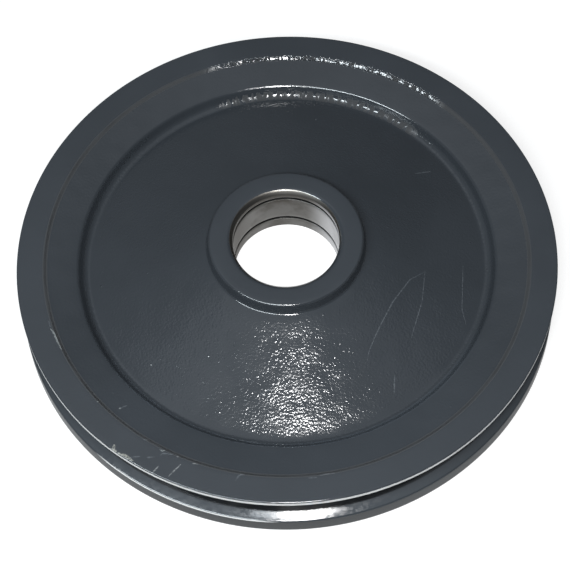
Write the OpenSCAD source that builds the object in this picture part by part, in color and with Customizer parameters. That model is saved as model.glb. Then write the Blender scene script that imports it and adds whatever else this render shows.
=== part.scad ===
// Belt tensioner pulley: one dished iron casting, turned on its rim faces,
// its belt groove and its bearing bore. It lies on its lower rim face,
// with its axis along +Z and the proud end of the hub upwards.
// All sizes are in millimetres and degrees.

/* [Rim] */
// Outside diameter over the two flanges
rim_d = 240; // [200:1:320]
// Width across the two turned rim faces
rim_w = 30; // [26:0.5:40]
// Radial width of the turned band on each rim face
turned_band_w = 12; // [8:0.5:16]
// Depth of the cast step inside the turned band
cast_step_drop = 0.8; // [0.4:0.1:1.6]
// Radial run of the cast step
cast_step_run = 1; // [0.8:0.1:3]
// Radial depth of the rim, from its outside to its inner edge
rim_depth = 27.2; // [24:0.1:32]
// Fall of the cast shoulder between the step and the inner edge
shoulder_fall = 1.6; // [0:0.1:3]
// Rounding of the upper outer rim edge
rim_upper_edge_r = 0.6; // [0.2:0.1:1.5]
// Rounding of the lower outer rim edge
rim_lower_edge_r = 2.5; // [0.2:0.1:3.5]
// Rounding of the inner rim edges
rim_inner_edge_r = 2; // [0.5:0.1:3]

/* [Belt groove] */
// Width of the groove at its mouth
groove_mouth_w = 17; // [13:0.5:18]
// Thickness of the upper flange at its edge
upper_flange_t = 3; // [2:0.1:6]
// Included angle of the groove flanks
groove_angle = 38; // [32:1:42]
// Depth of the groove below the outside diameter
groove_depth = 14; // [10:0.5:15]
// Rounding of the groove mouth
groove_mouth_r = 1; // [0.2:0.1:1.4]
// Rounding of the groove floor
groove_floor_r = 1; // [0.3:0.1:2]

/* [Web] */
// Depth of the foot of the web below the upper rim face
web_sink = 7.6; // [5:0.2:9]
// Height of the hub face above the web at the hub
hub_proud = 5; // [4:0.5:9]
// Wall thickness of the web, measured along the axis
web_t = 8; // [6:0.5:12]
// Draft of the inner rim wall above the web, from the axis
upper_wall_draft = 26; // [5:1:35]
// Draft of the inner rim wall below the web, from the axis
lower_wall_draft = 8; // [3:1:15]
// Fillet between the web and the rim
web_rim_r = 3.5; // [2:0.5:8]
// Fillet between the web and the hub
web_hub_r = 1.2; // [0.5:0.1:4]

/* [Hub] */
// Diameter of the hub at its end faces
hub_d = 68; // [60:0.5:80]
// Length of the hub between its end faces
hub_l = 28; // [25:0.5:36]
// Height of the upper hub face above the upper rim face
hub_rise = 14; // [10:0.5:17]
// Draft of the hub's outside
hub_draft = 14; // [0:0.5:16]
// Rounding of the hub's outer edges
hub_edge_r = 1.2; // [0.3:0.1:2]

/* [Bearing bore] */
// Outside diameter of the ball bearing that the bore takes
bearing_d = 47; // [40:0.5:52]
// Width of the ball bearing
bearing_w = 14; // [11:0.5:16]
// Wall between the upper hub face and the upper retaining-ring groove
ring_wall = 4; // [3:0.1:5]
// Depth of the retaining-ring grooves below the bore
ring_groove_depth = 1.25; // [0.8:0.05:2]
// Width of the retaining-ring grooves
ring_groove_w = 1.85; // [1.1:0.05:2.2]
// Chamfer at the upper end of the bore
bore_upper_chamfer = 1.8; // [0.5:0.1:2.5]
// Rounding between that chamfer and the upper hub face
bore_edge_r = 2; // [0.2:0.1:3]
// Chamfer at the lower end of the bore
bore_lower_chamfer = 0.8; // [0.3:0.1:2.5]

/* [Hidden] */
$fn = 180;

// Turn of one short chord on a rounded corner of the section
arc_step = 7;

rim_r = rim_d / 2;
hub_r = hub_d / 2;
bore_r = bearing_d / 2;
ring_groove_r = bore_r + ring_groove_depth;

// Heights above the lower rim face
hub_top = rim_w + hub_rise;
hub_base = hub_top - hub_l;
shoulder_sink = cast_step_drop + shoulder_fall;
groove_top = rim_w - upper_flange_t;
groove_bottom = groove_top - groove_mouth_w;

// Radii of the rim
band_r = rim_r - turned_band_w;
step_r = band_r - cast_step_run;
rim_inner_r = rim_r - rim_depth;
groove_floor_radius = rim_r - groove_depth;
flank_fall = groove_depth * tan(groove_angle / 2);

// The upper wall slopes in to the foot of the web
web_foot_z = rim_w - web_sink;
web_foot_r = rim_inner_r - (web_sink - shoulder_sink) * tan(upper_wall_draft);

// The web's upper face is a cone from the hub's wall down to its foot
hub_lean = tan(hub_draft);
web_hub_z = hub_top - hub_proud;
web_hub_radius = hub_r + hub_proud * hub_lean;
web_slope = (web_hub_z - web_foot_z) / (web_foot_r - web_hub_radius);
function web_z(r) = web_foot_z + (web_foot_r - r) * web_slope;

// The web's lower face is the same cone, one wall thickness further down:
// its corners lie where it crosses the drafted walls of the rim and the hub
lower_apex_z = web_z(0) - web_t;
lower_wall_lean = tan(lower_wall_draft);
lower_foot_r = (rim_inner_r - lower_wall_lean * (lower_apex_z - shoulder_sink))
    / (1 - lower_wall_lean * web_slope);
lower_foot_z = web_z(lower_foot_r) - web_t;
lower_hub_r = (hub_r + hub_lean * (lower_apex_z - hub_base))
    / (1 + hub_lean * web_slope);
lower_hub_z = web_z(lower_hub_r) - web_t;

// Corners of the section are [radius, height, rounding], listed clockwise from the top of the rim

function rim_top() = [
    [rim_inner_r, rim_w - shoulder_sink, rim_inner_edge_r],
    [step_r, rim_w - cast_step_drop, cast_step_run / 2],
    [band_r, rim_w, cast_step_drop / 2],
    [rim_r, rim_w, rim_upper_edge_r],
];

function belt_groove() = [
    [rim_r, groove_top, groove_mouth_r],
    [groove_floor_radius, groove_top - flank_fall, groove_floor_r],
    [groove_floor_radius, groove_bottom + flank_fall, groove_floor_r],
    [rim_r, groove_bottom, groove_mouth_r],
];

function rim_bottom() = [
    [rim_r, 0, rim_lower_edge_r],
    [band_r, 0, cast_step_drop / 2],
    [step_r, cast_step_drop, cast_step_run / 2],
    [rim_inner_r, shoulder_sink, rim_inner_edge_r],
];

function web_bottom() = [
    [lower_foot_r, lower_foot_z, web_rim_r],
    [lower_hub_r, lower_hub_z, web_hub_r],
];

function hub_bottom() = [
    [hub_r, hub_base, hub_edge_r],
    [bore_r + bore_lower_chamfer, hub_base, 0],
    [bore_r, hub_base + bore_lower_chamfer, 0],
];

// A square-cornered groove in the bore whose upper side lies at height z
function ring_groove(z) = [
    [bore_r, z - ring_groove_w, 0],
    [ring_groove_r, z - ring_groove_w, 0],
    [ring_groove_r, z, 0],
    [bore_r, z, 0],
];

upper_ring_z = hub_top - ring_wall;
lower_ring_z = upper_ring_z - ring_groove_w - bearing_w;

function bore() = concat(ring_groove(lower_ring_z), ring_groove(upper_ring_z));

function hub_top_corners() = [
    [bore_r, hub_top - bore_upper_chamfer, 0],
    [bore_r + bore_upper_chamfer, hub_top, bore_edge_r],
    [hub_r, hub_top, hub_edge_r],
];

function web_top() = [
    [web_hub_radius, web_hub_z, web_hub_r],
    [web_foot_r, web_foot_z, web_rim_r],
];

section = concat(rim_top(), belt_groove(), rim_bottom(), web_bottom(),
    hub_bottom(), bore(), hub_top_corners(), web_top());

// Points of the arc that rounds corner b between its neighbours a and c.
// The rounding is limited to half of the shorter side next to it.
function unit(v) = v / norm(v);
function rounded_corner(a, b, c, rounding) =
    let (
        to_a = unit(a - b),
        to_c = unit(c - b),
        half_angle = acos(to_a * to_c) / 2,
        reach = min(rounding / tan(half_angle), norm(a - b) / 2, norm(c - b) / 2),
        radius = reach * tan(half_angle),
        centre = b + unit(to_a + to_c) * radius / sin(half_angle),
        from = b + to_a * reach - centre,
        to = b + to_c * reach - centre,
        sweep = atan2(cross(from, to), from * to),
        steps = ceil(abs(sweep) / arc_step)
    )
    [for (i = [0:steps])
        let (t = sweep * i / steps)
        centre + [from.x * cos(t) - from.y * sin(t), from.x * sin(t) + from.y * cos(t)]];

function corner_at(i) =
    let (corner = section[(i + len(section)) % len(section)])
    [corner[0], corner[1]];

function outline() = [
    for (i = [0:len(section) - 1])
        each section[i][2] > 0
            ? rounded_corner(corner_at(i - 1), corner_at(i), corner_at(i + 1), section[i][2])
            : [corner_at(i)]
];

module pulley() {
    color("#3c4247")
        rotate_extrude()
            polygon(outline());
}

pulley();
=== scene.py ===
"""Looks of a belt tensioner pulley: one dished iron casting under dark slate paint.

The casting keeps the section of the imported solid. It is turned again at a finer
pitch, given the unevenness of a sand casting, and dressed in three finishes:
painted cast skin, painted turned faces and the bare turned bore.
"""

import logging
import math
from collections import defaultdict
from dataclasses import dataclass, field
from enum import Enum
from functools import reduce

import bmesh
import bpy
from mathutils import Matrix, Vector, noise


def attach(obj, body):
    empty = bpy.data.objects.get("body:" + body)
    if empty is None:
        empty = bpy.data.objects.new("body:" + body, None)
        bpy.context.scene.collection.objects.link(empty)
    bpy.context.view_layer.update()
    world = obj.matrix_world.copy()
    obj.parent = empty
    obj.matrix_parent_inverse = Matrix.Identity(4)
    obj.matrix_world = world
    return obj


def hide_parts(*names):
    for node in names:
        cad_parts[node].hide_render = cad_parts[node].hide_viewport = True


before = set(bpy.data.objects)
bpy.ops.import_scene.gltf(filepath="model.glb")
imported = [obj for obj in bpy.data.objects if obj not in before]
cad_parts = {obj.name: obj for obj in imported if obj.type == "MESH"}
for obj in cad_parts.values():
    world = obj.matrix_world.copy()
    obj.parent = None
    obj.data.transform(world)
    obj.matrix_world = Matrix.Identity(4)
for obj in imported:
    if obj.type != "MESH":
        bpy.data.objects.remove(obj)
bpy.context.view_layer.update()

MM = 0.001
IMAGE_SIDE_PX = 570
SENSOR_MM = 36.0

Colour = tuple[float, float, float]
Point = tuple[float, float]
Place = tuple[float, float, float]
Span = tuple[float, float, float]  # lower end, upper end, and width of the fade at both
Socket = bpy.types.NodeSocket
Sockets = bpy.types.bpy_prop_collection

ORIGIN: Place = (0.0, 0.0, 0.0)
FRONT: Place = (0.0, -1.0, 0.0)
NUMBER_OPERATIONS = ("DISTANCE", "DOT_PRODUCT", "LENGTH")
TORN_SIDE: Place = (0.225, 0.974, 0.0)
TORN_FADE: Point = (0.84, 0.89)
TOOTH_RADIUS = 108.0
TOOTH_LEAN = 0.4
TOOTH_SOFT = 0.05

log = logging.getLogger("pulley")


class Zone(Enum):
    """Surfaces of the casting, by the material slot that each one takes."""

    CAST = 0
    TURNED = 1
    BORE = 2


class Blemish(Enum):
    """Kinds of wear in the paint: tint, and how strongly it covers the paint."""

    SCRATCH = ((0.30, 0.31, 0.31), 0.55)
    HAIRLINE = ((0.20, 0.22, 0.24), 0.30)
    SCUFF = ((0.25, 0.27, 0.27), 0.6)
    CHIP = ((0.30, 0.30, 0.27), 0.8)

    @property
    def tint(self) -> Colour:
        """Colour that shows in the mark."""
        return self.value[0]

    @property
    def cover(self) -> float:
        """Share of the paint's colour that the mark hides."""
        return self.value[1]


@dataclass(frozen=True)
class Mark:
    """One mark in the paint, along a line of points seen from above.

    Attributes:
        kind: what sort of wear it is.
        points: the places it passes through, in millimetres from the axis.
        width: how wide it is, in millimetres.
        wander: how far its edge strays, in millimetres.
    """

    kind: Blemish
    points: tuple[Point, ...]
    width: float = 0.8
    wander: float = 0.4

    def stretches(self) -> list[tuple[Point, Point, float, float]]:
        """Lists the straight stretches of the mark.

        Returns:
            Start, end, and the shares of the mark's length at both, of each stretch.
        """
        pairs = list(zip(self.points, self.points[1:]))
        length = sum(math.dist(start, end) for start, end in pairs)
        listed = []
        share = 0.0
        for start, end in pairs:
            reached = share + math.dist(start, end) / length
            listed.append((start, end, share, reached))
            share = reached
        return listed


RIM_MARKS = (
    Mark(Blemish.CHIP, ((-77.9, -91.3), (-75.0, -93.2)), 1.5, 1.6),
    Mark(Blemish.CHIP, ((-76.1, -89.9), (-76.3, -92.1)), 1.5, 1.6),
    Mark(Blemish.CHIP, ((-74.7, -93.8), (-72.0, -94.6), (-70.8, -95.5), (-68.2, -97.5)), 1.6, 1.8),
    Mark(Blemish.HAIRLINE, ((-69.6, -96.0), (-67.6, -95.7), (-65.2, -95.7)), 0.9),
    Mark(Blemish.HAIRLINE, ((-62.5, -96.3), (-59.2, -96.2)), 1.0),
    Mark(Blemish.SCRATCH, ((-57.3, -100.3), (-58.7, -101.9), (-60.2, -103.5)), 0.9),
    Mark(Blemish.SCRATCH, ((-48.1, -100.1), (-49.8, -101.8), (-51.7, -103.6), (-53.4, -105.5)), 0.9),
    Mark(Blemish.HAIRLINE, ((-25.5, -108.7), (-24.3, -106.9), (-23.2, -106.1), (-21.5, -106.2)), 0.9),
    Mark(Blemish.SCUFF, ((-57.0, -92.7), (-55.8, -93.6), (-54.6, -93.4)), 0.9, 0.7),
    Mark(Blemish.HAIRLINE, ((-56.8, -95.7), (-55.8, -94.7), (-53.6, -95.0), (-51.2, -95.5)), 0.9),
    Mark(Blemish.HAIRLINE, ((-63.7, -87.8), (-62.2, -88.2)), 0.9),
    Mark(Blemish.SCRATCH, ((-50.0, -96.4), (-49.0, -96.6)), 0.8),
    Mark(Blemish.SCRATCH, ((-43.4, -100.0), (-40.9, -100.3)), 0.7),
    Mark(Blemish.HAIRLINE, ((5.0, -108.9), (8.7, -108.8)), 0.8),
    Mark(Blemish.HAIRLINE, ((9.8, -107.9), (12.8, -107.4), (16.3, -107.1)), 0.7),
    Mark(Blemish.SCUFF, ((-104.3, -32.5), (-102.7, -34.8), (-100.9, -39.2), (-99.1, -43.3)), 1.3, 0.9),
    Mark(Blemish.HAIRLINE, ((-105.1, -28.7), (-104.3, -31.9)), 0.7),
    Mark(Blemish.SCUFF, ((-83.7, -69.2), (-83.0, -69.2)), 0.9),
)

CAST_MARKS = (
    Mark(
        Blemish.HAIRLINE,
        (
            (32.8, -55.2), (33.6, -51.3), (36.5, -44.8), (40.5, -37.2),
            (45.4, -28.4), (53.6, -17.2), (60.6, -12.5),
        ),
        0.6,
    ),
    Mark(Blemish.HAIRLINE, ((60.6, -12.5), (58.3, -27.2), (52.3, -44.6)), 0.5),
    Mark(Blemish.HAIRLINE, ((78.1, -6.9), (75.9, -29.2), (77.2, -36.2)), 0.5),
    Mark(Blemish.HAIRLINE, ((44.3, -61.1), (43.5, -68.8)), 0.7),
    Mark(Blemish.HAIRLINE, ((60.0, 41.1), (67.6, 43.3)), 0.7),
    Mark(Blemish.HAIRLINE, ((-14.2, -68.6), (-11.9, -67.2), (-9.2, -66.1)), 0.8),
    Mark(Blemish.SCUFF, ((-74.3, -72.2), (-73.4, -72.0)), 1.1),
    Mark(Blemish.HAIRLINE, ((-73.5, -72.0), (-71.0, -70.7)), 0.7),
)


class Sheet:
    """Adds and links the nodes of one material, group or world."""

    def __init__(self, tree: bpy.types.NodeTree) -> None:
        """Starts on an empty tree.

        Args:
            tree: the node tree to fill; its nodes are removed first.
        """
        self.tree = tree
        tree.nodes.clear()

    def add(self, kind: str, inputs: dict | None = None, **settings) -> bpy.types.Node:
        """Adds one node.

        Args:
            kind: Blender's name of the node type.
            inputs: value or socket for each named or numbered input.
            settings: attributes of the node itself.

        Returns:
            The new node.
        """
        node = self.tree.nodes.new(kind)
        for name, value in settings.items():
            setattr(node, name, value)
        for key, value in (inputs or {}).items():
            self.feed(node.inputs[key], value)
        return node

    def feed(self, socket: Socket, value) -> None:
        """Links a socket to an input, or sets the input's own value.

        Args:
            socket: the input.
            value: an output socket, a number, or a sequence of numbers.
        """
        if isinstance(value, Socket):
            self.tree.links.new(value, socket)
        else:
            socket.default_value = value

    def math(self, operation: str, *values, clamp: bool = False) -> Socket:
        """Adds a Math node and returns its output."""
        settings = {"operation": operation, "use_clamp": clamp}
        return self.add("ShaderNodeMath", dict(enumerate(values)), **settings).outputs[0]

    def vector(self, operation: str, *values) -> Socket:
        """Adds a Vector Math node and returns its output, a number where the operation gives one."""
        node = self.add("ShaderNodeVectorMath", dict(enumerate(values)), operation=operation)
        return node.outputs["Value" if operation in NUMBER_OPERATIONS else "Vector"]

    def scaled(self, vector: Socket, factor) -> Socket:
        """Adds the scaling of a vector or colour and returns the result."""
        return self.add("ShaderNodeVectorMath", {0: vector, "Scale": factor}, operation="SCALE").outputs[0]

    def ramp(self, value: Socket, start, end, low: float = 0.0, high: float = 1.0) -> Socket:
        """Adds a smooth step from low to high as value goes from start to end.

        Args:
            value: what is compared.
            start: where the step begins.
            end: where the step ends.
            low: result before it.
            high: result after it.

        Returns:
            The stepped value.
        """
        node = self.add(
            "ShaderNodeMapRange",
            {"Value": value, "From Min": start, "From Max": end, "To Min": low, "To Max": high},
            interpolation_type="SMOOTHSTEP",
        )
        return node.outputs["Result"]

    def band(self, value: Socket, low: float, high: float, soft: float) -> Socket:
        """Adds a mask that is 1 where value lies between low and high.

        Args:
            value: what is compared.
            low: lower limit.
            high: upper limit.
            soft: width of the fade at each limit.

        Returns:
            The mask.
        """
        rise = self.ramp(value, low - soft, low)
        fall = self.ramp(value, high, high + soft, 1.0, 0.0)
        return self.math("MULTIPLY", rise, fall)

    def cloud(self, vector, scale: float, detail: float = 2.0, roughness: float = 0.5) -> Socket:
        """Adds a noise texture and returns its value.

        Args:
            vector: the coordinate.
            scale: cells per unit of the coordinate.
            detail: octaves of finer noise.
            roughness: weight of the finer octaves.

        Returns:
            The noise, about 0.5 on average.
        """
        node = self.add(
            "ShaderNodeTexNoise",
            {"Vector": vector, "Scale": scale, "Detail": detail, "Roughness": roughness},
        )
        return node.outputs["Fac"]

    def mix(self, factor, a, b) -> Socket:
        """Adds a colour mix from a to b and returns its colour."""
        a, b = (value if isinstance(value, Socket) else (*value, 1.0) for value in (a, b))
        return self.add("ShaderNodeMix", {0: factor, 6: a, 7: b}, data_type="RGBA").outputs[2]

    def blend(self, factor, a, b) -> Socket:
        """Adds a number mix from a to b and returns its value."""
        return self.add("ShaderNodeMix", {0: factor, 2: a, 3: b}, data_type="FLOAT").outputs[0]

    def product(self, *values) -> Socket:
        """Adds the product of two or more values and returns it."""
        return reduce(lambda done, value: self.math("MULTIPLY", done, value), values)

    def most(self, *values) -> Socket:
        """Adds the largest of one or more values and returns it."""
        return reduce(lambda done, value: self.math("MAXIMUM", done, value), values)

    def inverse(self, value: Socket) -> Socket:
        """Adds what a value lacks to 1 and returns it."""
        return self.math("SUBTRACT", 1.0, value)

    def facing(self, around: Socket, bearing: Place) -> Socket:
        """Adds how far a direction points towards a bearing and returns it."""
        return self.vector("DOT_PRODUCT", around, bearing)

    def bump(self, relief: Socket, depth: float, normal: Socket | None = None) -> Socket:
        """Adds a bump.

        Args:
            relief: height of the surface.
            depth: length of one unit of it, in millimetres.
            normal: the normal that it starts from, where that is not the surface's own.

        Returns:
            The bumped normal.
        """
        node = self.add("ShaderNodeBump", {"Strength": 1.0, "Distance": depth * MM, "Height": relief})
        if normal is not None:
            self.feed(node.inputs["Normal"], normal)
        return node.outputs[0]


@dataclass(frozen=True)
class Surface:
    """A material while it is built.

    Attributes:
        made: the material.
        sheet: its sheet.
        where: its Texture Coordinate node.
        radius: distance of the place from the axis, in millimetres.
        height: its height, in millimetres.
        around: its direction from the axis.
        cloud: clouding of a coat there.
        gloss: unevenness of that coat's gloss.
    """

    made: bpy.types.Material
    sheet: Sheet
    where: bpy.types.Node
    radius: Socket
    height: Socket
    around: Socket
    cloud: Socket
    gloss: Socket

    @property
    def place(self) -> Socket:
        """Place on the object."""
        return self.where.outputs["Object"]

    def finish(self, inputs: dict) -> bpy.types.Material:
        """Adds the shader.

        Args:
            inputs: value or socket for each named input of the shader.

        Returns:
            The finished material.
        """
        shader = self.sheet.add("ShaderNodeBsdfPrincipled", inputs)
        self.sheet.add("ShaderNodeOutputMaterial", {"Surface": shader.outputs[0]})
        return self.made


class Effects:
    """The node groups that the finishes share, each built once."""

    def __init__(self) -> None:
        """Builds the groups."""
        self.polar = self._polar()
        self.grain = self._grain()
        self.tone = self._tone()
        self.wear = self._wear()
        self.stretch = self._stretch()
        self.teeth = self._teeth()

    @staticmethod
    def _start(
        name: str, inputs: dict[str, float | Place], outputs: dict[str, float | Place]
    ) -> tuple[bpy.types.NodeTree, Sheet, Sockets, Sockets]:
        """Makes an empty group with its sockets.

        Args:
            name: name of the group.
            inputs: name and start value of each input; a triple is a vector.
            outputs: the same of each output.

        Returns:
            The group, a sheet on it, its input sockets by name and its output node's.
        """
        group = bpy.data.node_groups.new(name, "ShaderNodeTree")
        for side, sockets in (("INPUT", inputs), ("OUTPUT", outputs)):
            for key, value in sockets.items():
                kind = "NodeSocketVector" if isinstance(value, tuple) else "NodeSocketFloat"
                socket = group.interface.new_socket(name=key, in_out=side, socket_type=kind)
                socket.default_value = value
        sheet = Sheet(group)
        given = sheet.add("NodeGroupInput").outputs
        return group, sheet, given, sheet.add("NodeGroupOutput").inputs

    @staticmethod
    def place(sheet: Sheet, group: bpy.types.NodeTree, inputs: dict) -> Sockets:
        """Places a group with its own inputs in a material and returns its outputs."""
        return sheet.add("ShaderNodeGroup", inputs, node_tree=group).outputs

    def surface(self, name: str) -> Surface:
        """Starts a material.

        Args:
            name: its name.

        Returns:
            The material with its coordinates.
        """
        made = bpy.data.materials.new(name)
        made.use_nodes = True
        sheet = Sheet(made.node_tree)
        where = sheet.add("ShaderNodeTexCoord")
        place = {"Vector": where.outputs["Object"]}
        polar = self.place(sheet, self.polar, place)
        tone = self.place(sheet, self.tone, place)
        return Surface(
            made, sheet, where, polar["Radius"], polar["Height"], polar["Around"],
            tone["Cloud"], tone["Gloss"])

    def _polar(self) -> bpy.types.NodeTree:
        """Builds the group for radius and height in millimetres, and the place around the axis.

        Returns:
            The group.
        """
        group, sheet, given, out = self._start(
            "polar place", {"Vector": ORIGIN}, {"Radius": 0.0, "Height": 0.0, "Around": ORIGIN})
        flat = sheet.vector("MULTIPLY", given["Vector"], (1 / MM, 1 / MM, 0.0))
        parts = sheet.add("ShaderNodeSeparateXYZ", {0: given["Vector"]})
        sheet.feed(out["Radius"], sheet.vector("LENGTH", flat))
        sheet.feed(out["Height"], sheet.math("MULTIPLY", parts.outputs["Z"], 1 / MM))
        sheet.feed(out["Around"], sheet.vector("NORMALIZE", flat))
        return group

    def _grain(self) -> bpy.types.NodeTree:
        """Builds the relief of a sand-cast skin: fine grain, stronger in places, and sparse nibs.

        Returns:
            The group.
        """
        group, sheet, given, out = self._start(
            "cast grain",
            {"Vector": ORIGIN, "Grain": 960.0, "Nibs": 140.0, "Share": 0.3, "Nib Height": 1.1},
            {"Height": 0.0},
        )
        fine = sheet.math("SUBTRACT", sheet.cloud(given["Vector"], given["Grain"], 1.3), 0.5)
        uneven = sheet.ramp(sheet.cloud(given["Vector"], 260.0), 0.36, 0.66, 0.6, 1.2)
        cells = sheet.add("ShaderNodeTexVoronoi", {"Vector": given["Vector"], "Scale": given["Nibs"]})
        draw = sheet.add("ShaderNodeSeparateColor", {0: cells.outputs["Color"]}).outputs[0]
        chosen = sheet.math("LESS_THAN", draw, given["Share"])
        dome = sheet.ramp(cells.outputs["Distance"], 0.0, 0.09, 1.0, 0.0)
        nib = sheet.product(dome, chosen, given["Nib Height"])
        sheet.feed(out["Height"], sheet.math("MULTIPLY_ADD", fine, uneven, nib))
        return group

    def _teeth(self) -> bpy.types.NodeTree:
        """Builds the teeth of a torn edge around the axis, on the side where it is torn.

        Returns:
            The group.
        """
        group, sheet, given, out = self._start(
            "torn teeth",
            {"Around": ORIGIN, "Radius": 100.0, "Pitch": 0.8, "Gap": 0.45},
            {"Side": 0.0, "Tooth": 0.0},
        )
        ring = sheet.scaled(given["Around"], TOOTH_RADIUS)
        lean = sheet.math("MULTIPLY", given["Radius"], TOOTH_LEAN)
        lean = sheet.add("ShaderNodeCombineXYZ", {"Z": lean}).outputs[0]
        wave = sheet.cloud(sheet.vector("ADD", ring, lean), given["Pitch"], 1.5)
        side = sheet.ramp(sheet.facing(given["Around"], TORN_SIDE), *TORN_FADE)
        begins = sheet.math("SUBTRACT", given["Gap"], TOOTH_SOFT)
        tooth = sheet.ramp(wave, begins, sheet.math("ADD", given["Gap"], TOOTH_SOFT))
        sheet.feed(out["Side"], side)
        sheet.feed(out["Tooth"], sheet.product(side, tooth))
        return group

    def _tone(self) -> bpy.types.NodeTree:
        """Builds the slow clouding of a paint coat and the fine unevenness of its gloss.

        Returns:
            The group.
        """
        group, sheet, given, out = self._start(
            "coat tone", {"Vector": ORIGIN}, {"Cloud": 0.0, "Gloss": 0.0})
        sheet.feed(out["Cloud"], sheet.ramp(sheet.cloud(given["Vector"], 24.0, 3.0), 0.3, 0.7))
        sheet.feed(out["Gloss"], sheet.ramp(sheet.cloud(given["Vector"], 90.0, 4.0, 0.6), 0.3, 0.7))
        return group

    def _wear(self) -> bpy.types.NodeTree:
        """Builds the place in millimetres seen from above, how it strays, and how far marks show there.

        Returns:
            The group.
        """
        group, sheet, given, out = self._start(
            "wear place",
            {"Vector": ORIGIN, "Normal": (0.0, 0.0, 1.0), "Lowest": 0.0},
            {"Place": ORIGIN, "Stray": ORIGIN, "Shown": 0.0},
        )
        place = sheet.scaled(given["Vector"], 1 / MM)
        stray = sheet.add("ShaderNodeTexNoise", {"Vector": place, "Scale": 1.1, "Detail": 3.0})
        stray = sheet.vector("MULTIPLY_ADD", stray.outputs["Color"], (1.0, 1.0, 0.0), (-0.5, -0.5, 0.0))
        broken = sheet.ramp(sheet.cloud(place, 0.9, 3.0, 0.65), 0.36, 0.56, 0.2, 1.0)
        tilt = sheet.add("ShaderNodeSeparateXYZ", {0: given["Normal"]}).outputs["Z"]
        level = sheet.add("ShaderNodeSeparateXYZ", {0: place}).outputs["Z"]
        high = sheet.math("GREATER_THAN", level, given["Lowest"])
        sheet.feed(out["Place"], sheet.vector("MULTIPLY", place, (1.0, 1.0, 0.0)))
        sheet.feed(out["Stray"], stray)
        sheet.feed(out["Shown"], sheet.product(broken, sheet.ramp(tilt, 0.1, 0.3), high))
        return group

    def _stretch(self) -> bpy.types.NodeTree:
        """Builds the mask of one straight stretch of a mark, which thins towards the mark's ends.

        Returns:
            The group.
        """
        group, sheet, given, out = self._start(
            "mark stretch",
            {
                "Place": ORIGIN, "Stray": ORIGIN, "Start": ORIGIN, "End": ORIGIN,
                "Width": 0.5, "Wander": 0.3, "Begun": 0.0, "Done": 1.0,
            },
            {"Mask": 0.0},
        )
        moved = sheet.vector("ADD", given["Place"], sheet.scaled(given["Stray"], given["Wander"]))
        run = sheet.vector("SUBTRACT", given["End"], given["Start"])
        off = sheet.vector("SUBTRACT", moved, given["Start"])
        along = sheet.math(
            "DIVIDE",
            sheet.vector("DOT_PRODUCT", off, run),
            sheet.vector("DOT_PRODUCT", run, run),
            clamp=True,
        )
        gap = sheet.vector("DISTANCE", off, sheet.scaled(run, along))
        share = sheet.blend(along, given["Begun"], given["Done"])
        taper = sheet.math("SQRT", sheet.product(share, sheet.inverse(share)))
        half = sheet.math("MULTIPLY_ADD", given["Width"], taper, 0.02)
        sheet.feed(out["Mask"], sheet.ramp(gap, sheet.math("MULTIPLY", half, 0.3), half, 1.0, 0.0))
        return group

    def worn(
        self, surface: Surface, marks: tuple[Mark, ...], lowest: float, colour: Socket
    ) -> tuple[Socket, Socket]:
        """Lays marks over a paint colour.

        Args:
            surface: the material.
            marks: the marks, in the order in which they are laid.
            lowest: height in millimetres below which none shows.
            colour: the paint's colour.

        Returns:
            The marked colour, and a mask of all the marks together.
        """
        sheet = surface.sheet
        wear = self.place(sheet, self.wear, {
            "Vector": surface.place, "Normal": surface.where.outputs["Normal"], "Lowest": lowest})
        covers = []
        for mark in marks:
            lines = [
                self.place(sheet, self.stretch, {
                    "Place": wear["Place"], "Stray": wear["Stray"],
                    "Start": (*start, 0.0), "End": (*end, 0.0), "Begun": begun, "Done": done,
                    "Width": mark.width, "Wander": mark.wander,
                })["Mask"]
                for start, end, begun, done in mark.stretches()
            ]
            covers.append(sheet.product(sheet.most(*lines), wear["Shown"], mark.kind.cover))
            colour = sheet.mix(covers[-1], colour, mark.kind.tint)
        return colour, sheet.most(*covers)


@dataclass(frozen=True)
class Paint:
    """Dark slate machine paint.

    Attributes:
        colour: the coat where it is even.
        thin: the coat where it clouds towards grey.
        roughness: of the coat at its glossiest.
        dulling: added where the gloss is uneven.
        mark_roughness: of the marks in it.
        specular: strength of the coat's surface reflection.
    """

    colour: Colour = (0.0297, 0.0349, 0.0410)
    thin: Colour = (0.0340, 0.0397, 0.0466)
    roughness: float = 0.07
    dulling: float = 0.05
    mark_roughness: float = 0.5
    specular: float = 1.0

    def coat(self, surface: Surface) -> Socket:
        """Adds the coat's clouded colour and returns it."""
        return surface.sheet.mix(surface.cloud, self.colour, self.thin)

    def gloss(self, surface: Surface) -> Socket:
        """Adds the coat's uneven roughness and returns it."""
        dullest = self.roughness + self.dulling
        return surface.sheet.ramp(surface.gloss, 0.0, 1.0, self.roughness, dullest)


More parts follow.
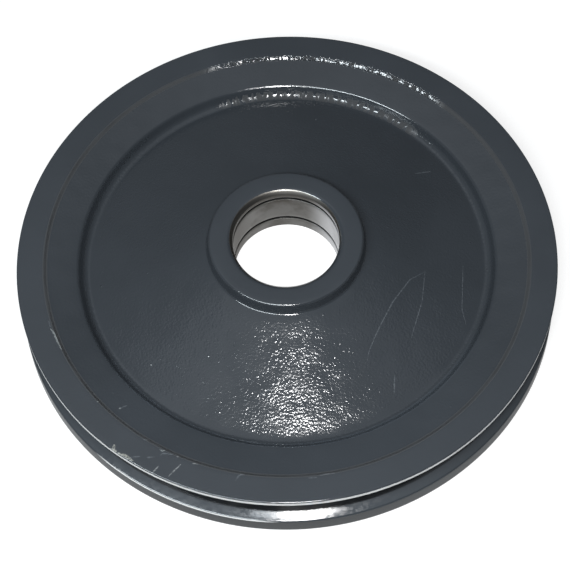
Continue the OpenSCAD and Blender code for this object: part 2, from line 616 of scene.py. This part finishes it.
@dataclass(frozen=True)
class CastPaint:
    """Paint over the sand-cast skin of the web, the hub's side and the rim's shoulders.

    Attributes:
        paint: the coat.
        shades: shares of the coat's colour on the web and on the shoulders, where it is darker.
        grain_depth: height of the skin's grain.
        step_ring: radii of the torn edge next to the turned bands.
        tear: height of that edge's teeth, in grain depths.
        foot_ring: radii at the foot of the web, where nibs are common.
        nib_shares: shares of the nibs on the web and at its foot.
        smooth_hub: radii over which the grain begins next to the hub.
        smooth_foot: radii over which it ends next to the rim.
        quiet: shares of the grain that are left next to the hub and next to the rim.
        corner_ring: radii of the corner at the foot of the web, where the coat's gloss breaks into dots with
            painted shade between them.
        corner_tooth_pitch: glossy dots in that corner per millimetre.
        corner_tooth_gap: level below which the corner has none.
        painted_light_ring: radii of the corner's wall, where light is painted onto the coat towards the
            front.
        painted_light_fade: how far a place faces the front where that painted light begins and where it is
            full.
        wall_painted_light: how much lighter the wall is painted there.
        shoulder_painted_light: the same painted light on the shoulder towards the front.
        web_dulling: roughness that the grain adds on the web.
        gap_painted_shade: share of the coat's colour on the edges between their teeth, a painted shade.
        gap_roughness: of the edges there.
    """

    paint: Paint = Paint()
    shades: Point = (0.89, 0.86)
    grain_depth: float = 0.15
    step_ring: Span = (106.7, 108.2, 0.3)
    tear: float = 3.0
    foot_ring: Span = (80.0, 92.0, 5.0)
    nib_shares: Point = (0.42, 0.6)
    smooth_hub: Point = (36.0, 41.0)
    smooth_foot: Point = (83.5, 87.5)
    quiet: Point = (0.25, 0.3)
    corner_ring: Span = (88.8, 91.2, 0.8)
    corner_tooth_pitch: float = 0.5
    corner_tooth_gap: float = 0.54
    painted_light_ring: Span = (90.0, 93.2, 0.6)
    painted_light_fade: Point = (0.35, 0.8)
    wall_painted_light: float = 1.75
    shoulder_painted_light: float = 1.2
    web_dulling: float = 0.042
    gap_painted_shade: float = 0.5
    gap_roughness: float = 0.85

    def shade(self, surface: Surface) -> Socket:
        """Shades the coat between the web and the shoulders, and paints light onto the corner's wall and the
        shoulders towards the front.

        Args:
            surface: the material.

        Returns:
            The share of the coat's colour.
        """
        sheet = surface.sheet
        outer = sheet.ramp(surface.radius, *self.corner_ring[:2])
        wall = sheet.band(surface.radius, *self.painted_light_ring)
        front = sheet.ramp(sheet.facing(surface.around, FRONT), *self.painted_light_fade)
        # Painted light: the corner's wall and the shoulders are lighter towards the front.
        front_painted_light = sheet.blend(wall, sheet.blend(outer, 1.0, self.shoulder_painted_light), self.wall_painted_light)
        return sheet.product(sheet.blend(outer, *self.shades), sheet.blend(front, 1.0, front_painted_light))

    def material(self, effects: Effects) -> bpy.types.Material:
        """Builds the material.

        Args:
            effects: the shared node groups.

        Returns:
            The material.
        """
        surface = effects.surface("painted cast skin")
        sheet, radius = surface.sheet, surface.radius
        corner = sheet.band(radius, *self.corner_ring)
        step = sheet.band(radius, *self.step_ring)
        edge = {"Around": surface.around, "Radius": radius}
        teeth = effects.place(sheet, effects.teeth, edge)
        corner_teeth = effects.place(
            sheet, effects.teeth, {**edge, "Pitch": self.corner_tooth_pitch, "Gap": self.corner_tooth_gap})
        # Painted shade: the torn step and the corner at the web's foot are darker between their teeth.
        shaded_gaps = sheet.most(
            sheet.product(step, sheet.inverse(teeth["Tooth"])),
            sheet.product(corner, sheet.math("SUBTRACT", corner_teeth["Side"], corner_teeth["Tooth"])))
        shade = sheet.product(self.shade(surface), sheet.blend(shaded_gaps, 1.0, self.gap_painted_shade))
        colour = sheet.scaled(self.paint.coat(surface), shade)
        colour, marked = effects.worn(surface, CAST_MARKS, 0.0, colour)
        web = sheet.product(
            sheet.ramp(radius, *self.smooth_hub), sheet.ramp(radius, *self.smooth_foot, 1.0, 0.0))
        rough = sheet.math("MULTIPLY_ADD", web, self.web_dulling, self.paint.gloss(surface))
        rough = sheet.blend(marked, rough, self.paint.mark_roughness)
        rough = sheet.blend(shaded_gaps, rough, self.gap_roughness)
        foot = sheet.band(radius, *self.foot_ring)
        grain = effects.place(sheet, effects.grain, {
            "Vector": surface.place, "Share": sheet.blend(foot, *self.nib_shares)})
        near_hub, near_rim = self.quiet
        grained = sheet.product(
            sheet.ramp(radius, *self.smooth_hub, near_hub, 1.0),
            sheet.ramp(radius, *self.smooth_foot, 1.0, near_rim))
        relief = sheet.math("ADD", grain["Height"], sheet.product(teeth["Tooth"], self.tear, step))
        relief = sheet.product(relief, sheet.most(grained, corner, step))
        return surface.finish({
            "Base Color": colour, "Roughness": rough, "Normal": sheet.bump(relief, self.grain_depth),
            "Specular IOR Level": self.paint.specular})


@dataclass(frozen=True)
class TurnedPaint:
    """Paint over turned faces, rubbed off along the upper flange's edge and masked at the mouth of the bore;
    a painted highlight lies along the lower flange's edge, a painted shadow in the groove, painted shade on
    the ragged border and the lower flange's edge, and dust with a painted sheen on the flanks.

    Attributes:
        paint: the coat.
        iron: colour of the iron where the paint is rubbed off, and of the painted highlight along the lower
            flange's edge.
        iron_roughness: of that iron.
        iron_metal: how metallic it is, under its film of dirt.
        masked: colour of the iron that a plug kept free of paint.
        masked_roughness: of that iron.
        peel_depth: height of the coat's orange peel.
        peel_pitch: its bumps per metre.
        stray_pitch: frays of the worn borders per metre.
        rim_begins: radii between the hub's faces and the rim's.
        ragged_ring: radii between which the inner border of the upper band breaks off.
        ragged: how far that border strays.
        ragged_pitch: its turns per millimetre.
        ragged_depth: height of that border.
        gap_painted_shade: share of the coat's colour along that border between its teeth, a painted shade.
        gap_roughness: of that border there.
        shaded_land_span: heights over which the painted shade on the lower flange's edge gives way to the
            plain coat above it.
        shaded_land_ring: radii over which that edge begins.
        land_painted_shade: share of the coat's colour on that edge, a painted shade.
        flank_span: heights between which the flanks of the belt groove lie.
        flank_roughness: of the coat where the flanks are dulled.
        flank_pitch: dulled patches per metre.
        flank_dust_and_sheen: lighter colour on them, dust and a painted sheen.
        flank_cover: share of the coat that this lighter colour hides.
        groove_shadow_ring: radii over which a painted shadow of the upper flange darkens the coat towards
            the groove's floor.
        groove_painted_shadow: share of the coat's colour in that painted shadow, at that floor.
        lip_radius: radius past which the upper flange's edge is bare.
        lip_fade: width of that border.
        lip_span: heights between which that edge lies.
        lip_stray: how far its border strays in radius and in height.
        face_lowest: height above which the upper rim face lies.
        highlight_span: heights of the painted highlight along the lower flange's edge.
        highlight_stray: how far that highlight's border strays.
        highlight_bearing: direction of the middle of that highlight's stretch.
        highlight_fade: how far a place faces that way where the stretch begins and where it is full.
        plug_centre: middle of the plug.
        plug_radius: radius of the plug.
        plug_soft: half the width of its border.
        plug_stray: how far that border strays.
        plug_lowest: height above which the plug masks the hub.
    """

    paint: Paint = Paint()
    iron: Colour = (0.97, 0.97, 0.96)
    iron_roughness: float = 0.34
    iron_metal: float = 0.45
    masked: Colour = (0.19, 0.18, 0.165)
    masked_roughness: float = 0.33
    peel_depth: float = 0.018
    peel_pitch: float = 620.0
    stray_pitch: float = 260.0
    rim_begins: Point = (100.0, 101.0)
    ragged_ring: Point = (108.2, 108.7)
    ragged: float = 2.6
    ragged_pitch: float = 0.7
    ragged_depth: float = 0.3
    gap_painted_shade: float = 0.5
    gap_roughness: float = 0.85
    shaded_land_span: Point = (9.2, 9.6)
    shaded_land_ring: Point = (117.0, 118.0)
    land_painted_shade: float = 0.35
    flank_span: Span = (10.3, 26.6, 0.3)
    flank_roughness: float = 0.16
    flank_pitch: float = 600.0
    flank_dust_and_sheen: Colour = (0.075, 0.085, 0.095)
    flank_cover: float = 0.25
    groove_shadow_ring: Point = (115.3, 116.1)
    groove_painted_shadow: float = 0.2
    lip_radius: float = 119.88
    lip_fade: float = 0.06
    lip_span: Span = (27.2, 29.3, 0.2)
    lip_stray: Point = (0.06, 0.8)
    face_lowest: float = 28.5
    highlight_span: Span = (9.5, 9.95, 0.15)
    highlight_stray: float = 0.25
    highlight_bearing: Place = (-0.42, -0.907, 0.0)
    highlight_fade: Point = (0.93, 0.96)
    plug_centre: Place = (-0.4, 0.9, 0.0)
    plug_radius: float = 24.4
    plug_soft: float = 0.15
    plug_stray: float = 0.6
    plug_lowest: float = 41.0

    def material(self, effects: Effects) -> bpy.types.Material:
        """Builds the material.

        Args:
            effects: the shared node groups.

        Returns:
            The material.
        """
        surface = effects.surface("painted turned face")
        sheet = surface.sheet
        radius, height, around = surface.radius, surface.height, surface.around
        stray = sheet.math("SUBTRACT", sheet.cloud(surface.place, self.stray_pitch, 3.0, 0.6), 0.5)
        groove = sheet.band(height, *self.flank_span)
        # Painted shadow: the upper flange's shadow on the lower flank, darker towards the groove's floor.
        depth = sheet.product(groove, sheet.ramp(radius, *self.groove_shadow_ring, 1.0, 0.0))
        flank = sheet.math("SUBTRACT", groove, depth)
        upper = sheet.math("GREATER_THAN", height, self.face_lowest)
        teeth = effects.place(sheet, effects.teeth, {"Around": around, "Radius": radius})
        # Painted shade along the upper band's ragged border, between its teeth.
        shaded_gaps = sheet.product(
            upper, sheet.ramp(radius, *self.ragged_ring, 1.0, 0.0), sheet.ramp(radius, *self.rim_begins),
            sheet.inverse(teeth["Tooth"]))
        # Painted shade on the lower flange's edge.
        shaded_land = sheet.product(
            sheet.ramp(height, *self.shaded_land_span, 1.0, 0.0), sheet.ramp(radius, *self.shaded_land_ring))
        shade = sheet.product(
            sheet.blend(depth, 1.0, self.groove_painted_shadow), sheet.blend(shaded_gaps, 1.0, self.gap_painted_shade),
            sheet.blend(shaded_land, 1.0, self.land_painted_shade))
        colour = sheet.scaled(self.paint.coat(surface), shade)
        colour, marked = effects.worn(surface, RIM_MARKS, self.face_lowest, colour)
        # Lighter flanks: dust and a painted sheen.
        colour = sheet.mix(sheet.product(flank, self.flank_cover), colour, self.flank_dust_and_sheen)
        dulled = sheet.ramp(sheet.cloud(surface.place, self.flank_pitch, 4.0, 0.65), 0.46, 0.56)
        # bare holds the rubbed upper edge and the painted highlight along the lower flange's edge.
        bare = self.rubbed(surface, stray)
        plugged = self.plugged(surface, stray)
        rough = sheet.blend(marked, self.paint.gloss(surface), self.paint.mark_roughness)
        for mask, roughness in (
            (sheet.product(flank, dulled), self.flank_roughness), (shaded_gaps, self.gap_roughness),
            (bare, self.iron_roughness), (plugged, self.masked_roughness),
        ):
            rough = sheet.blend(mask, rough, roughness)
        for mask, metal in ((bare, self.iron), (plugged, self.masked)):
            colour = sheet.mix(mask, colour, metal)
        peel = sheet.bump(sheet.cloud(surface.place, self.peel_pitch, 2.0), self.peel_depth)
        turns = sheet.cloud(sheet.scaled(around, self.ragged_ring[0]), self.ragged_pitch, 2.0, 0.6)
        border = sheet.math("MULTIPLY_ADD", sheet.math("SUBTRACT", turns, 0.5), self.ragged, radius)
        ledge = sheet.product(sheet.ramp(border, *self.ragged_ring), teeth["Side"], upper)
        return surface.finish({
            "Base Color": colour, "Roughness": rough,
            "Metallic": sheet.most(sheet.product(bare, self.iron_metal), plugged),
            "Normal": sheet.bump(ledge, self.ragged_depth, peel),
            "Specular IOR Level": self.paint.specular})

    def rubbed(self, surface: Surface, stray: Socket) -> Socket:
        """Masks the upper flange's edge, where the paint is rubbed off, and the painted highlight along the
        lower flange's edge.

        Args:
            surface: the material.
            stray: uneven value about zero that frays the borders.

        Returns:
            The mask.
        """
        sheet, height = surface.sheet, surface.height
        reach = sheet.math("MULTIPLY_ADD", stray, self.lip_stray[0], surface.radius)
        lip_height = sheet.math("MULTIPLY_ADD", stray, self.lip_stray[1], height)
        highlight_height = sheet.math("MULTIPLY_ADD", stray, self.highlight_stray, height)
        lip = sheet.product(
            sheet.ramp(reach, self.lip_radius, self.lip_radius + self.lip_fade),
            sheet.band(lip_height, *self.lip_span))
        # Painted highlight: bare-iron colour along the lower flange's edge, only on the side that faces
        # highlight_bearing.
        facing = sheet.facing(surface.around, self.highlight_bearing)
        painted_highlight = sheet.product(
            sheet.band(highlight_height, *self.highlight_span), sheet.ramp(facing, *self.highlight_fade))
        return sheet.most(lip, painted_highlight)

    def plugged(self, surface: Surface, stray: Socket) -> Socket:
        """Masks the mouth of the bore, where a plug kept the paint off.

        Args:
            surface: the material.
            stray: uneven value about zero that frays the border.

        Returns:
            The mask.
        """
        sheet = surface.sheet
        flat = sheet.scaled(surface.around, surface.radius)
        off = sheet.vector("DISTANCE", flat, self.plug_centre)
        off = sheet.math("MULTIPLY_ADD", stray, self.plug_stray, off)
        inside = sheet.ramp(
            off, self.plug_radius - self.plug_soft, self.plug_radius + self.plug_soft, 1.0, 0.0)
        return sheet.product(inside, sheet.math("GREATER_THAN", surface.height, self.plug_lowest))


@dataclass(frozen=True)
class BareIron:
    """Bare turned iron of the bore, stained, with dirt and painted shade in the ring grooves; painted light
    on its right side and painted shade on its left.

    Attributes:
        iron: colour of the iron.
        stain: colour of its stained patches, and of the painted shade on its left side.
        lit_side: colour of the painted light on its right side.
        lit_bearing: direction of that side.
        dirt: colour of the dirt, which also stands as painted shade in the ring grooves.
        ring_span: heights between which the ring grooves lie.
        lower_end: height below which the bore's end is soiled.
        upper_end: height above which it is stained all over.
        end_soft: half the width of those borders.
        roughness: of the iron.
        stained_roughness: of its stained patches.
        groove_radius: radius past which the ring grooves hold dirt and painted shade.
        line_depth: height of the tool's lines.
    """

    iron: Colour = (0.15, 0.147, 0.14)
    stain: Colour = (0.115, 0.108, 0.098)
    lit_side: Colour = (0.46, 0.465, 0.475)
    lit_bearing: Place = (0.974, 0.225, 0.0)
    dirt: Colour = (0.03, 0.03, 0.03)
    ring_span: Span = (18.0, 41.0, 0.2)
    lower_end: float = 17.1
    upper_end: float = 40.2
    end_soft: float = 0.3
    roughness: float = 0.36
    stained_roughness: float = 0.52
    groove_radius: float = 23.75
    line_depth: float = 0.012

    def material(self, effects: Effects) -> bpy.types.Material:
        """Builds the material.

        Args:
            effects: the shared node groups.

        Returns:
            The material.
        """
        surface = effects.surface("bare turned bore")
        sheet, radius, height = surface.sheet, surface.radius, surface.height
        # Painted light on the side that faces lit_bearing, painted shade in the stain's colour on the side
        # away from it.
        facing = sheet.facing(surface.around, self.lit_bearing)
        patches = sheet.most(
            sheet.ramp(sheet.cloud(surface.place, 75.0, 4.0, 0.6), 0.42, 0.68),
            sheet.ramp(height, self.upper_end - self.end_soft, self.upper_end + self.end_soft),
            sheet.ramp(facing, -0.9, -0.3, 1.0, 0.0))
        colour = sheet.mix(patches, self.iron, self.stain)
        colour = sheet.mix(sheet.ramp(facing, 0.6, 1.0), colour, self.lit_side)
        # Dirt and painted shade in the ring grooves.
        groove_dirt_and_shade = sheet.product(
            sheet.ramp(radius, self.groove_radius - 0.1, self.groove_radius + 0.3),
            sheet.band(height, *self.ring_span))
        splashed = sheet.ramp(
            height, self.lower_end - self.end_soft, self.lower_end + self.end_soft, 0.85, 0.0)
        colour = sheet.mix(sheet.most(groove_dirt_and_shade, splashed), colour, self.dirt)
        rings = sheet.add("ShaderNodeCombineXYZ", {"X": radius, "Y": height}).outputs[0]
        lines = sheet.math("ADD", sheet.cloud(rings, 2.6, 3.0, 0.7), surface.gloss)
        return surface.finish({
            "Base Color": colour, "Metallic": 1.0, "Normal": sheet.bump(lines, self.line_depth),
            "Roughness": sheet.blend(patches, self.roughness, self.stained_roughness)})


@dataclass
class Pulley:
    """The casting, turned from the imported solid's own section.

    Attributes:
        name: its name.
        steps: facets around the axis.
        pitch: longest stretch of the section between two rings, in millimetres.
        web_pitch: the same on the web's upper side.
        bore_reach: radius of the floors of the ring grooves.
        bore_span: heights of the bore between its chamfers.
        turned_edge: inner radius of the turned rim bands.
        groove_span: heights between which the belt groove lies.
        groove_floor: radius of the floor of the belt groove.
        hub_radius: radius of the hub's end faces.
        web_ring: radii of the web.
        web_lowest: height above which the web's upper side lies.
        lump: depth of the casting's slow unevenness.
        lump_size: length of that unevenness.
        edge_break: width of the broken edges in the bore.
        sharp_angle: turn past which an edge is broken.
        trim: share of the radius kept, so that rounding stays inside the solid.
        finishes: the finish of each zone.
    """

    name: str = "pulley_casting"
    steps: int = 256
    pitch: float = 2.4
    web_pitch: float = 1.3
    bore_reach: float = 24.95
    bore_span: Point = (16.1, 42.1)
    turned_edge: float = 107.9
    groove_span: Point = (3.0, 28.0)
    groove_floor: float = 105.9
    hub_radius: float = 33.5
    web_ring: Point = (34.0, 92.5)
    web_lowest: float = 21.5
    lump: float = 0.07
    lump_size: float = 7.0
    edge_break: float = 0.12
    trim: float = 0.99999
    sharp_angle: float = math.radians(32)
    finishes: dict[Zone, CastPaint | TurnedPaint | BareIron] = field(
        default_factory=lambda: {Zone.CAST: CastPaint(), Zone.TURNED: TurnedPaint(), Zone.BORE: BareIron()}
    )

    def section(self, solid: bpy.types.Object) -> bmesh.types.BMesh:
        """Cuts the solid's half section as one loop of edges.

        Args:
            solid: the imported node.

        Returns:
            A bmesh that holds the loop, in the plane of +X and Z.
        """
        bm = bmesh.new()
        bm.from_mesh(solid.data)
        bmesh.ops.remove_doubles(bm, verts=bm.verts[:], dist=1e-6)
        bmesh.ops.bisect_plane(
            bm, geom=bm.verts[:] + bm.edges[:] + bm.faces[:], dist=1e-6,
            plane_co=(0, 0, 0), plane_no=(0, 1, 0), clear_inner=True, clear_outer=True)
        bmesh.ops.delete(bm, geom=[v for v in bm.verts if v.co.x < 0], context="VERTS")
        bmesh.ops.remove_doubles(bm, verts=bm.verts[:], dist=5e-6)
        return bm

    def refine(self, bm: bmesh.types.BMesh) -> None:
        """Divides the long edges of the section.

        Args:
            bm: the loop.
        """
        cuts: dict[int, list] = defaultdict(list)
        for edge in bm.edges:
            middle = (edge.verts[0].co + edge.verts[1].co) / 2 / MM
            on_web = self.web_ring[0] < middle.x < self.web_ring[1] and middle.z > self.web_lowest
            pitch = self.web_pitch if on_web else self.pitch
            cuts[math.ceil(edge.calc_length() / MM / pitch) - 1].append(edge)
        for count, edges in cuts.items():
            if count > 0:
                bmesh.ops.subdivide_edges(bm, edges=edges, cuts=count)

    def zone(self, face: bmesh.types.BMFace) -> Zone:
        """Tells which surface a face belongs to.

        Args:
            face: the face.

        Returns:
            Its zone.
        """
        middle = face.calc_center_median() / MM
        radius = math.hypot(middle.x, middle.y)
        if radius < self.hub_radius:
            in_bore = radius < self.bore_reach and self.bore_span[0] < middle.z < self.bore_span[1]
            return Zone.BORE if in_bore else Zone.TURNED
        in_groove = radius > self.groove_floor and self.groove_span[0] < middle.z < self.groove_span[1]
        return Zone.TURNED if radius > self.turned_edge or in_groove else Zone.CAST

    def uneven(self, bm: bmesh.types.BMesh) -> None:
        """Moves the cast faces a little along their normals, and leaves the turned ones true.

        Args:
            bm: the casting.
        """
        bm.normal_update()
        moves = []
        for vert in bm.verts:
            if any(face.material_index != Zone.CAST.value for face in vert.link_faces):
                continue
            place = vert.co / (self.lump_size * MM)
            lift = noise.noise(place) + 0.45 * noise.noise(place * 2.3)
            moves.append((vert, vert.normal * (lift * self.lump * MM)))
        for vert, move in moves:
            vert.co += move

    def build(self, solid: bpy.types.Object) -> bpy.types.Object:
        """Turns the casting.

        Args:
            solid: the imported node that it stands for.

        Returns:
            The piece, with its faces in their zones.
        """
        bm = self.section(solid)
        self.refine(bm)
        bmesh.ops.spin(
            bm, geom=bm.verts[:] + bm.edges[:], cent=(0, 0, 0), axis=(0, 0, 1), angle=math.tau,
            steps=self.steps, use_merge=True, use_normal_flip=False, use_duplicate=False)
        bmesh.ops.remove_doubles(bm, verts=bm.verts[:], dist=1e-6)
        bmesh.ops.scale(bm, verts=bm.verts[:], vec=(self.trim, self.trim, 1.0))
        bmesh.ops.recalc_face_normals(bm, faces=bm.faces[:])
        bm.normal_update()
        corners = [e for e in bm.edges if e.is_manifold and e.calc_face_angle() > self.sharp_angle]
        bmesh.ops.bevel(
            bm, geom=corners, offset=self.edge_break * MM, affect="EDGES",
            segments=2, profile=0.5, material=-1)
        for face in bm.faces:
            face.smooth = True
            face.material_index = self.zone(face).value
        self.uneven(bm)
        mesh = bpy.data.meshes.new(self.name)
        bm.to_mesh(mesh)
        bm.free()
        piece = bpy.data.objects.new(self.name, mesh)
        bpy.context.scene.collection.objects.link(piece)
        return piece

    def dress(self, piece: bpy.types.Object, effects: Effects) -> None:
        """Gives each zone its finish, in the order of the zones' slots."""
        for zone in Zone:
            piece.data.materials.append(self.finishes[zone].material(effects))


@dataclass(frozen=True)
class StudioLamp:
    """One strip lamp that looks at the casting.

    Attributes:
        name: its name.
        ends: the two ends of its middle line, in metres.
        width: how wide the strip is.
        watts: its power.
        colour: colour of its light.
    """

    name: str
    ends: tuple[Place, Place]
    width: float
    watts: float
    colour: Colour

    def build(self) -> None:
        """Hangs the lamp, long side along its ends."""
        start, end = (Vector(place) for place in self.ends)
        middle = (start + end) / 2
        along = (end - start).normalized()
        back = middle.normalized()
        across = back.cross(along).normalized()
        turn = Matrix((along, across, along.cross(across))).transposed()
        data = bpy.data.lights.new(self.name, "AREA")
        data.shape = "RECTANGLE"
        data.size = (end - start).length
        data.size_y = self.width
        data.energy = self.watts
        data.color = self.colour
        lamp = bpy.data.objects.new(self.name, data)
        lamp.matrix_world = Matrix.Translation(middle) @ turn.to_4x4()
        lamp.visible_camera = False
        bpy.context.scene.collection.objects.link(lamp)


@dataclass
class Studio:
    """Pale floor, even surroundings and four soft lamps.

    Attributes:
        floor_side: how wide the floor is.
        floor_colour: its colour.
        seen_lift: what is added to it, under the casting and around it, where it is seen directly; the
            larger share under the casting is painted light that fills the casting's shadow.
        gloss_lift: the same where it is seen in a glossy surface, where the larger share under the casting
            is painted light as well.
        lift_ring: distances from the axis between which that changes.
        floor_drop: how far the floor lies below the casting.
        sky: height of a direction and grey of the surroundings there.
        sky_tint: colour of the surroundings.
        sky_sides: strength of the surroundings on the left and on the right.
        sky_turn: sideways parts of a direction between which that changes.
        lamps: the lamps.
    """

    floor_side: float = 8.0
    floor_colour: Colour = (0.35, 0.35, 0.35)
    seen_lift: Point = (0.9, 0.75)
    gloss_lift: Point = (0.75, 0.04)
    lift_ring: Point = (0.09, 0.112)
    floor_drop: float = 0.0002
    sky: tuple[Point, ...] = (
        (0.0, 0.2), (0.25, 0.12), (0.5, 0.13), (0.80, 0.17), (0.87, 0.28), (0.915, 0.45), (1.0, 0.45))
    sky_tint: Colour = (0.91, 0.97, 1.04)
    sky_sides: Point = (1.0, 0.6)
    sky_turn: Point = (-0.2, 0.25)
    lamps: tuple[StudioLamp, ...] = (
        StudioLamp(
            "key lamp", ((-0.068, -0.483, 1.470), (0.147, -0.483, 1.470)), 0.13, 5.0, (1.0, 1.0, 1.0)),
        StudioLamp(
            "flash lamp", ((-0.06, -0.40, 0.62), (0.06, -0.40, 0.62)), 0.08, 2.45, (1.0, 1.0, 1.0)),
        StudioLamp(
            "spill lamp", ((-0.215, -0.483, 1.470), (-0.075, -0.483, 1.470)), 0.13, 0.28, (0.9, 0.97, 1.03)),
        StudioLamp(
            "side lamp", ((-0.171, -0.708, 1.017), (-0.756, -0.348, 0.852)), 0.20, 8.5, (0.88, 0.97, 1.02)),
    )

    def lift(self, sheet: Sheet) -> Socket:
        """Strength of the pale background, seen directly, through glass or in gloss.

        Args:
            sheet: the floor's sheet.

        Returns:
            What the floor adds to its own colour.
        """
        path = sheet.add("ShaderNodeLightPath").outputs
        out = sheet.vector("LENGTH", sheet.add("ShaderNodeTexCoord").outputs["Object"])
        direct = sheet.math("MAXIMUM", path["Is Camera Ray"], path["Is Transmission Ray"])
        # The stronger glow under the casting is painted light that fills its shadow.
        direct = sheet.math("MULTIPLY", direct, sheet.ramp(out, *self.lift_ring, *self.seen_lift))
        gloss = sheet.ramp(out, *self.lift_ring, *self.gloss_lift)
        return sheet.math("MULTIPLY_ADD", path["Is Glossy Ray"], gloss, direct)

    def floor(self) -> bpy.types.Object:
        """Lays the floor.

        Returns:
            The floor.
        """
        bm = bmesh.new()
        bmesh.ops.create_grid(bm, x_segments=2, y_segments=2, size=self.floor_side / 2)
        bmesh.ops.translate(bm, verts=bm.verts[:], vec=(0, 0, -self.floor_drop))
        mesh = bpy.data.meshes.new("floor")
        bm.to_mesh(mesh)
        bm.free()
        made = bpy.data.materials.new("pale floor")
        made.use_nodes = True
        sheet = Sheet(made.node_tree)
        matt = sheet.add("ShaderNodeBsdfDiffuse", {"Color": (*self.floor_colour, 1.0)})
        glow = sheet.add("ShaderNodeEmission", {"Color": (1.0, 1.0, 1.0, 1.0), "Strength": self.lift(sheet)})
        both = sheet.add("ShaderNodeAddShader", {0: matt.outputs[0], 1: glow.outputs[0]})
        sheet.add("ShaderNodeOutputMaterial", {"Surface": both.outputs[0]})
        mesh.materials.append(made)
        piece = bpy.data.objects.new("floor", mesh)
        bpy.context.scene.collection.objects.link(piece)
        return piece

    def world(self) -> None:
        """Sets the surroundings: a dim room under a pale ceiling, brighter on the left."""
        made = bpy.data.worlds.new("white studio")
        made.use_nodes = True
        sheet = Sheet(made.node_tree)
        ahead = sheet.add("ShaderNodeTexCoord").outputs["Generated"]
        parts = sheet.add("ShaderNodeSeparateXYZ", {0: ahead}).outputs
        side = sheet.ramp(parts["X"], *self.sky_turn, *self.sky_sides)
        level = sheet.add("ShaderNodeValToRGB", {0: parts["Z"]})
        stops = level.color_ramp.elements
        for position, _ in self.sky[2:]:
            stops.new(position)
        for stop, (position, grey) in zip(stops, self.sky):
            stop.position = position
            stop.color = (*(grey * part for part in self.sky_tint), 1.0)
        sky = sheet.add("ShaderNodeBackground", {"Color": level.outputs[0], "Strength": side})
        sheet.add("ShaderNodeOutputWorld", {"Surface": sky.outputs[0]})
        bpy.context.scene.world = made

    def build(self) -> None:
        """Lays the floor, sets the surroundings and hangs the lamps."""
        self.floor()
        self.world()
        for lamp in self.lamps:
            lamp.build()


@dataclass(frozen=True)
class PhotoCamera:
    """The photograph's own viewpoint.

    Attributes:
        place: where it stands, in metres.
        dip: how far it looks below the horizon, in degrees.
        roll: how far it leans, in degrees.
        focal_px: its focal length, in pixels of the image.
    """

    place: Place = (-0.00126, -0.45806, 0.80298)
    dip: float = 60.218
    roll: float = 2.443
    focal_px: float = 2023.4

    def build(self) -> None:
        """Stands the camera and makes it the scene's own."""
        dip, roll = math.radians(self.dip), math.radians(self.roll)
        ahead = Vector((0.0, math.cos(dip), -math.sin(dip)))
        right = Vector((1.0, 0.0, 0.0))
        down = Vector((0.0, -math.sin(dip), -math.cos(dip)))
        leaning_right = right * math.cos(roll) + down * math.sin(roll)
        leaning_down = down * math.cos(roll) - right * math.sin(roll)
        turn = Matrix((leaning_right, -leaning_down, -ahead)).transposed()
        data = bpy.data.cameras.new("photo camera")
        data.sensor_width = SENSOR_MM
        data.lens = self.focal_px / IMAGE_SIDE_PX * SENSOR_MM
        camera = bpy.data.objects.new("photo camera", data)
        camera.matrix_world = Matrix.Translation(self.place) @ turn.to_4x4()
        bpy.context.scene.collection.objects.link(camera)
        bpy.context.scene.camera = camera


def main() -> None:
    """Builds the casting and the studio around it."""
    logging.basicConfig(level=logging.INFO, format="%(name)s: %(message)s")
    bpy.context.scene.view_settings.view_transform = "Standard"
    effects = Effects()
    pulley = Pulley()
    piece = pulley.build(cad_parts["pulley"])
    pulley.dress(piece, effects)
    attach(piece, "root")
    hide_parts("pulley")
    log.info("%s: %d faces", piece.name, len(piece.data.polygons))
    Studio().build()
    PhotoCamera().build()


if __name__ == "__main__":
    main()
